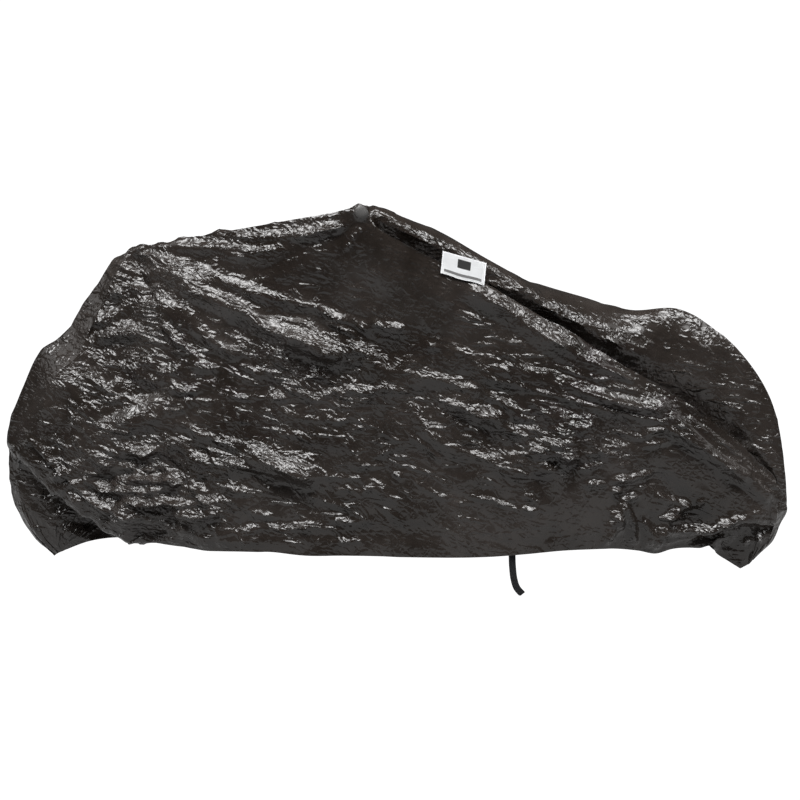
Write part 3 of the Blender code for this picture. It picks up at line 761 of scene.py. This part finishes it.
def grid_faces(rows, columns):
    """The quads between the points of a grid, as rows of four point numbers."""
    index = np.arange(rows * columns).reshape(rows, columns)
    corners = (index[:-1, :-1], index[1:, :-1], index[1:, 1:], index[:-1, 1:])
    return np.stack([corner.ravel() for corner in corners], axis=1)


def new_mesh(name, points, faces, sharp):
    """A smooth mesh from points in millimetres, with its edges sharp where they turn more than sharp."""
    mesh = bpy.data.meshes.new(name)
    mesh.from_pydata(((points - (0, 0, MOUNT_UP)) * METRES).tolist(), [], faces.tolist())
    mesh.shade_smooth()
    mesh.set_sharp_from_angle(angle=sharp)
    return mesh


def grid_mesh(name, points):
    """A mesh of quads over a grid of points."""
    return new_mesh(name, points.reshape(-1, 3), grid_faces(*points.shape[:2]), FILM_SHARP)


def thick_sheet(name, points, thickness):
    """A closed thin mesh over a grid of points, thick on its far side, with shares of the grid as UVs."""
    rows, columns = points.shape[:2]
    back = points - outward_normals(points) * thickness
    index = np.arange(rows * columns).reshape(rows, columns)
    front_faces = grid_faces(rows, columns)
    back_faces = front_faces[:, ::-1] + rows * columns
    rim = np.concatenate((index[:-1, 0], index[-1, :-1], index[:0:-1, -1], index[0, :0:-1]))
    after = np.roll(rim, -1)
    sides = np.stack((rim, rim + rows * columns, after + rows * columns, after), axis=1)
    mesh = new_mesh(name, np.concatenate((points.reshape(-1, 3), back.reshape(-1, 3))),
                    np.concatenate((front_faces, back_faces, sides)), SHEET_SHARP)
    shares = np.meshgrid(np.linspace(0, 1, rows), np.linspace(0, 1, columns), indexing="ij")
    shares = np.tile(np.stack(shares, axis=2).reshape(-1, 2), (2, 1))
    ends = np.empty(len(mesh.loops), np.int32)
    mesh.loops.foreach_get("vertex_index", ends)
    mesh.uv_layers.new(name="cut").data.foreach_set("uv", shares[ends].ravel())
    return mesh


def lowest_around(values, reach):
    """Each value replaced by the lowest one within reach cells of it."""
    for axis in (0, 1):
        padded = np.pad(values, [(reach, reach) if axis == i else (0, 0) for i in (0, 1)], mode="edge")
        shifted = [np.take(padded, range(i, i + values.shape[axis]), axis) for i in range(2 * reach + 1)]
        values = np.min(shifted, axis=0)
    return values


def label_points(film):
    """The label's near face: against the film, straight over its dips, and upright above the ridge."""
    tree = BVHTree.FromPolygons([v.co for v in film.vertices], [tuple(f.vertices) for f in film.polygons])
    i, j = np.meshgrid(*(np.linspace(0, 1, cells + 1) for cells in LABEL_CELLS), indexing="ij")
    corner, across, rise = map(np.array, (LABEL_CORNER, LABEL_BOTTOM_EDGE, LABEL_LEFT_EDGE))
    places = corner + across * i[:, :, None] + rise * j[:, :, None]
    out = np.array([[tree.ray_cast(place(x, -WELL_OUT, up), Vector((0, 1, 0)))[0].y / METRES
                     for x, up in row] for row in places])
    out = np.minimum.accumulate(lowest_around(out, LABEL_REACH), axis=1)
    for _ in range(LABEL_SMOOTHINGS):
        beside = (np.roll(out, 1, 0) + np.roll(out, -1, 0)) / 2
        out = np.minimum(out, (beside + out) / 2)
    out -= LABEL_GAP + LABEL_THICK
    waves = np.array([[film_noise((x, 0, up), LABEL_WAVE_SIZE) for x, up in row] for row in places])
    up = places[:, :, 1] + LABEL_WAVE * np.sin(i * LABEL_WAVE_TURN + LABEL_WAVE_START) * (1 - j)
    return np.dstack((places[:, :, 0], out - LABEL_WAVE * np.abs(waves), up))


def strap_points():
    """The strap's near face: a flat band swept down its path, with a slight twist along it."""
    path = np.array([(x, -out, up) for (x, up), out in zip(STRAP_PATH, STRAP_OUT)], float)
    lengths = np.linalg.norm(np.diff(path, axis=0), axis=1)
    distances = np.concatenate(([0], np.cumsum(lengths)))[:, None]
    centre = smooth_through(path, distances, [STRAP_STEPS] * len(lengths))
    sideways = np.cross(np.gradient(centre, axis=0), (0, 1, 0))
    sideways /= np.linalg.norm(sideways, axis=1, keepdims=True)
    across = np.linspace(-0.5, 0.5, STRAP_CELLS + 1) * STRAP_WIDTH
    down = np.linspace(0, 1, len(centre))[:, None]
    points = centre[:, None, :] + sideways[:, None, :] * across[:, None]
    points[:, :, 1] += STRAP_TWIST * np.sin(down * STRAP_TWIST_TURN) * across / STRAP_WIDTH
    return points


def piece(name, mesh, material, node):
    obj = bpy.data.objects.new(name, mesh)
    mesh.materials.append(material)
    bpy.context.scene.collection.objects.link(obj)
    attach(obj, "root")
    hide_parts(node)
    return obj


class Nodes:
    """Builds a material's nodes with short calls."""

    def __init__(self, name):
        self.material = bpy.data.materials.new(name)
        self.material.use_nodes = True
        self.tree = self.material.node_tree
        self.shader = self.tree.nodes["Principled BSDF"]

    def add(self, kind, links=(), **settings):
        node = self.tree.nodes.new(kind)
        for key, value in settings.items():
            setattr(node, key, value)
        for target, source in links:
            self.link(source, node.inputs[target])
        return node

    def link(self, source, target):
        self.tree.links.new(source, target)

    def fill(self, sockets, values):
        """Gives each socket its value: a number or a colour, or another node's output."""
        for socket, value in zip(sockets, values):
            if isinstance(value, bpy.types.NodeSocket):
                self.link(value, socket)
            else:
                socket.default_value = value

    def math(self, operation, *values, clamp=False):
        node = self.add("ShaderNodeMath", operation=operation, use_clamp=clamp)
        self.fill(node.inputs, values)
        return node.outputs[0]

    def plus(self, a, b):
        return self.math("ADD", a, b)

    def times(self, a, b):
        return self.math("MULTIPLY", a, b)

    def mix(self, share, low, high):
        """A colour between low and high."""
        node = self.add("ShaderNodeMix", data_type="RGBA")
        self.fill((node.inputs[0], node.inputs[6], node.inputs[7]), (share, low, high))
        return node.outputs[2]

    def band(self, value, low, high):
        """1 where value lies from low to high, and 0 elsewhere."""
        return self.times(self.math("GREATER_THAN", value, low), self.math("LESS_THAN", value, high))

    def noise(self, vector, scale, detail, output="Fac"):
        node = self.add("ShaderNodeTexNoise", [("Vector", vector)])
        node.inputs["Scale"].default_value, node.inputs["Detail"].default_value = scale, detail
        return node.outputs[output]

    def warped(self, vector, scale, reach):
        """The vector moved about by a noise, reach metres at most."""
        colour = self.noise(vector, scale, WARP_DETAIL, "Color")
        centred = self.add("ShaderNodeVectorMath", [(0, colour)], operation="SUBTRACT")
        centred.inputs[1].default_value = (0.5, 0.5, 0.5)
        scaled = self.add("ShaderNodeVectorMath", [(0, centred.outputs[0])], operation="SCALE")
        scaled.inputs["Scale"].default_value = reach * 2
        moved = self.add("ShaderNodeVectorMath", [(0, vector), (1, scaled.outputs[0])], operation="ADD")
        return moved.outputs[0]

    def cells(self, vector, turn, size):
        """Cells of one size, turned: a number for each, and how far a point lies from its cell's edge."""
        turned = self.add("ShaderNodeMapping", [(0, vector)], vector_type="TEXTURE")
        turned.inputs["Rotation"].default_value, turned.inputs["Scale"].default_value = turn, size
        found = []
        for feature, output in (("F1", "Color"), ("DISTANCE_TO_EDGE", "Distance")):
            node = self.add("ShaderNodeTexVoronoi", [(0, turned.outputs[0])], feature=feature)
            node.inputs["Scale"].default_value = 1
            found.append(node.outputs[output])
        return self.add("ShaderNodeSeparateXYZ", [(0, found[0])]).outputs["X"], found[1]

    def wave(self, vector, axis, scale):
        """A sine along one axis, from 0 to 1, that turns by scale radians in each metre."""
        split = self.add("ShaderNodeSeparateXYZ", [(0, vector)]).outputs[axis]
        sine = self.math("SINE", self.times(split, scale))
        return self.plus(self.times(sine, 0.5), 0.5)

    def cut(self):
        """How far a point lies along and across a sheet's cut shape, as shares."""
        uv = self.add("ShaderNodeUVMap", uv_map="cut").outputs["UV"]
        split = self.add("ShaderNodeSeparateXYZ", [(0, uv)])
        return split.outputs["X"], split.outputs["Y"]

    def object_place(self):
        return self.add("ShaderNodeTexCoord").outputs["Object"]

    def bump(self, height):
        """Bends the shader's normal by a height in metres."""
        node = self.add("ShaderNodeBump", [("Height", height)])
        node.inputs["Strength"].default_value, node.inputs["Distance"].default_value = 1.0, 1.0
        self.link(node.outputs[0], self.shader.inputs["Normal"])

    def set(self, **values):
        for name, value in values.items():
            self.shader.inputs[name.replace("_", " ")].default_value = value


def film_material():
    """Thin black polyethylene: dark, glossy, and creased down to a few millimetres."""
    n = Nodes("black film")
    place_at = n.object_place()
    crumple = n.add("ShaderNodeAttribute", attribute_name="crumple").outputs["Fac"]
    taut = n.add("ShaderNodeAttribute", attribute_name="taut").outputs["Fac"]
    bent = n.warped(place_at, *ROOF_WARP)
    total = 0.0
    for roofs in ROOFS:
        pick, to_edge = n.cells(bent, (0, roofs.turn, 0), (roofs.long, roofs.long, roofs.wide))
        share = n.plus(n.times(crumple, roofs.crumpled - roofs.calm), roofs.calm)
        stands = n.math("DIVIDE", n.math("SUBTRACT", share, pick), ROOF_FADE, clamp=True)
        roof = n.times(n.times(to_edge, stands), roofs.slope * roofs.wide)
        total = n.plus(total, roof)
    n.bump(n.times(total, n.math("SUBTRACT", 1.0, taut)))
    cloud = n.noise(place_at, *CLOUD)
    clear = n.math("MULTIPLY", n.math("SUBTRACT", cloud, CLOUD_FROM), CLOUD_CONTRAST, clamp=True)
    n.link(n.mix(taut, n.mix(clear, *FILM_TONES), TAUT_TONE), n.shader.inputs["Base Color"])
    rough = n.plus(n.times(cloud, CLOUD_ROUGH), FILM_ROUGH)
    rough = n.plus(rough, n.times(taut, TAUT_ROUGH))
    n.link(rough, n.shader.inputs["Roughness"])
    n.set(IOR=1.5, Specular_IOR_Level=0.6)
    return n.material


def label_material():
    """White coated cloth with a fine weave, a pressed border and two plain bars."""
    n = Nodes("white label")
    along, rise = n.cut()
    short = LABEL_BORDER * math.hypot(*LABEL_BOTTOM_EDGE) / math.hypot(*LABEL_LEFT_EDGE)
    middle = n.times(n.band(along, LABEL_BORDER, 1 - LABEL_BORDER), n.band(rise, short, 1 - short))
    place_at = n.object_place()
    cloth = n.mix(n.noise(place_at, *LABEL_SOIL), *LABEL_TONES)
    tone = n.mix(middle, LABEL_BORDER_TONE, cloth)
    for bar in LABEL_BARS:
        inside = n.times(n.band(along, bar.along0, bar.along1), n.band(rise, bar.rise0, bar.rise1))
        tone = n.mix(inside, tone, (bar.tone, bar.tone, bar.tone, 1))
    n.link(tone, n.shader.inputs["Base Color"])
    weave = n.times(n.wave(place_at, "X", LABEL_WEAVE), n.wave(place_at, "Z", LABEL_WEAVE))
    height = n.plus(n.times(weave, WEAVE_RISE), n.times(middle, MIDDLE_RISE))
    cockle = n.times(n.noise(place_at, *LABEL_COCKLE), COCKLE_RISE)
    n.bump(n.plus(height, cockle))
    n.set(Roughness=0.55, Specular_IOR_Level=0.3)
    return n.material


def webbing_material():
    """Black flat webbing: herringbone ribs along it, and denser, darker selvages."""
    n = Nodes("black webbing")
    along, across = n.cut()
    inner = n.band(across, SELVAGE, 1 - SELVAGE)
    slant = n.times(n.math("PINGPONG", n.times(across, RIB_FOLDS), 1.0), RIB_SLANT)
    turn = n.times(n.plus(n.times(along, STRAP_PICKS), slant), math.tau)
    picks = n.math("SINE", turn)
    ends = n.math("SINE", n.times(across, math.tau * STRAP_ENDS))
    weave = n.times(n.plus(picks, ends), YARN_RISE)
    fuzz = n.times(n.noise(n.object_place(), *FUZZ), FUZZ_RISE)
    n.bump(n.plus(weave, fuzz))
    yarn = n.mix(n.times(n.plus(picks, 1.0), 0.5), *YARN_TONES)
    n.link(n.mix(inner, SELVAGE_TONE, yarn), n.shader.inputs["Base Color"])
    n.set(Roughness=0.75, Specular_IOR_Level=0.25)
    return n.material


def glow(name, strength):
    """Plain white light, the same all over."""
    n = Nodes(name)
    n.set(Base_Color=(0, 0, 0, 1), Specular_IOR_Level=0.0)
    n.set(Emission_Color=(1, 1, 1, 1), Emission_Strength=strength)
    return n


def lit_floor():
    """A glowing floor seen only in reflections: painted shade close to the cover, a painted pool of light
    in front of it, dim farther off.
    """
    n = glow("lit floor", 1.0)
    stretched = n.add("ShaderNodeMapping", [(0, n.object_place())])
    stretched.inputs["Scale"].default_value = (FLOOR_SQUASH, 1, 1)
    stretched.inputs["Location"].default_value = (FLOOR_SQUASH * FLOOR_BACK, 0, 0)
    away = n.add("ShaderNodeVectorMath", [(0, stretched.outputs[0])], operation="LENGTH").outputs["Value"]
    ramp = n.add("ShaderNodeValToRGB", [(0, n.math("DIVIDE", away, FLOOR_LIT[-1].away))])
    stops = ramp.color_ramp.elements
    for i, ring in enumerate(FLOOR_LIT):
        stop = stops[i] if i < 2 else stops.new(1.0)
        stop.position, stop.color = ring.away / FLOOR_LIT[-1].away, (ring.light, ring.light, ring.light, 1)
    n.link(ramp.outputs["Color"], n.shader.inputs["Emission Color"])
    return n


def stage():
    """The floor and backdrop that the camera sees, the floor that lights the film, and the lamps."""
    s, z = FLOOR_REACH, -MOUNT_UP * METRES
    plane = [(-s, -s, z), (s, -s, z), (s, s, z), (-s, s, z)]
    corners = [(x * s, y * s, h * s) for x in (-1, 1) for y in (-1, 1) for h in (-1, 1)]
    walls = [(0, 1, 3, 2), (4, 6, 7, 5), (0, 4, 5, 1), (2, 3, 7, 6), (1, 5, 7, 3), (0, 2, 6, 4)]
    for name, places, faces, look, seen in (
            ("floor", plane, [(0, 1, 2, 3)], glow("pale floor", BACKDROP_GLOW), True),
            ("backdrop", corners, walls, glow("pale backdrop", BACKDROP_GLOW), True),
            ("lit floor", plane, [(0, 1, 2, 3)], lit_floor(), False)):
        mesh = bpy.data.meshes.new(name)
        mesh.from_pydata(places, [], faces)
        mesh.materials.append(look.material)
        obj = bpy.data.objects.new(name, mesh)
        obj.visible_camera = seen
        for way in ("diffuse", "glossy", "transmission", "volume_scatter", "shadow"):
            setattr(obj, "visible_" + way, not seen)
        bpy.context.scene.collection.objects.link(obj)
    world = bpy.data.worlds.new("studio")
    bpy.context.scene.world = world
    world.use_nodes = True
    background = world.node_tree.nodes["Background"]
    background.inputs["Color"].default_value = (1, 1, 1, 1)
    background.inputs["Strength"].default_value = ROOM
    for row in LIGHTS:
        data = bpy.data.lights.new(row.name, "AREA")
        data.shape, data.size, data.size_y, data.energy = "RECTANGLE", row.long, row.wide, row.power
        lamp = bpy.data.objects.new(row.name, data)
        lamp.location = row.where
        lamp.rotation_euler = (Vector(row.at) - Vector(row.where)).to_track_quat("-Z", "Y").to_euler()
        bpy.context.scene.collection.objects.link(lamp)
    bpy.context.scene.view_settings.view_transform = "Standard"


camera()
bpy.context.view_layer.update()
points, crumple, taut = dressed_grid()
mesh = grid_mesh("cover", points)
for name, values in (("crumple", crumple), ("taut", taut)):
    mesh.attributes.new(name, "FLOAT", "POINT").data.foreach_set("value", values.ravel().astype(np.float32))
cover = piece("cover", mesh, film_material(), "cover_film")
label_mesh = thick_sheet("label", label_points(mesh), LABEL_THICK)
label = piece("label", label_mesh, label_material(), "label_patch")
strap_mesh = thick_sheet("strap", strap_points(), STRAP_THICK)
strap = piece("strap", strap_mesh, webbing_material(), "tie_strap")
stage()
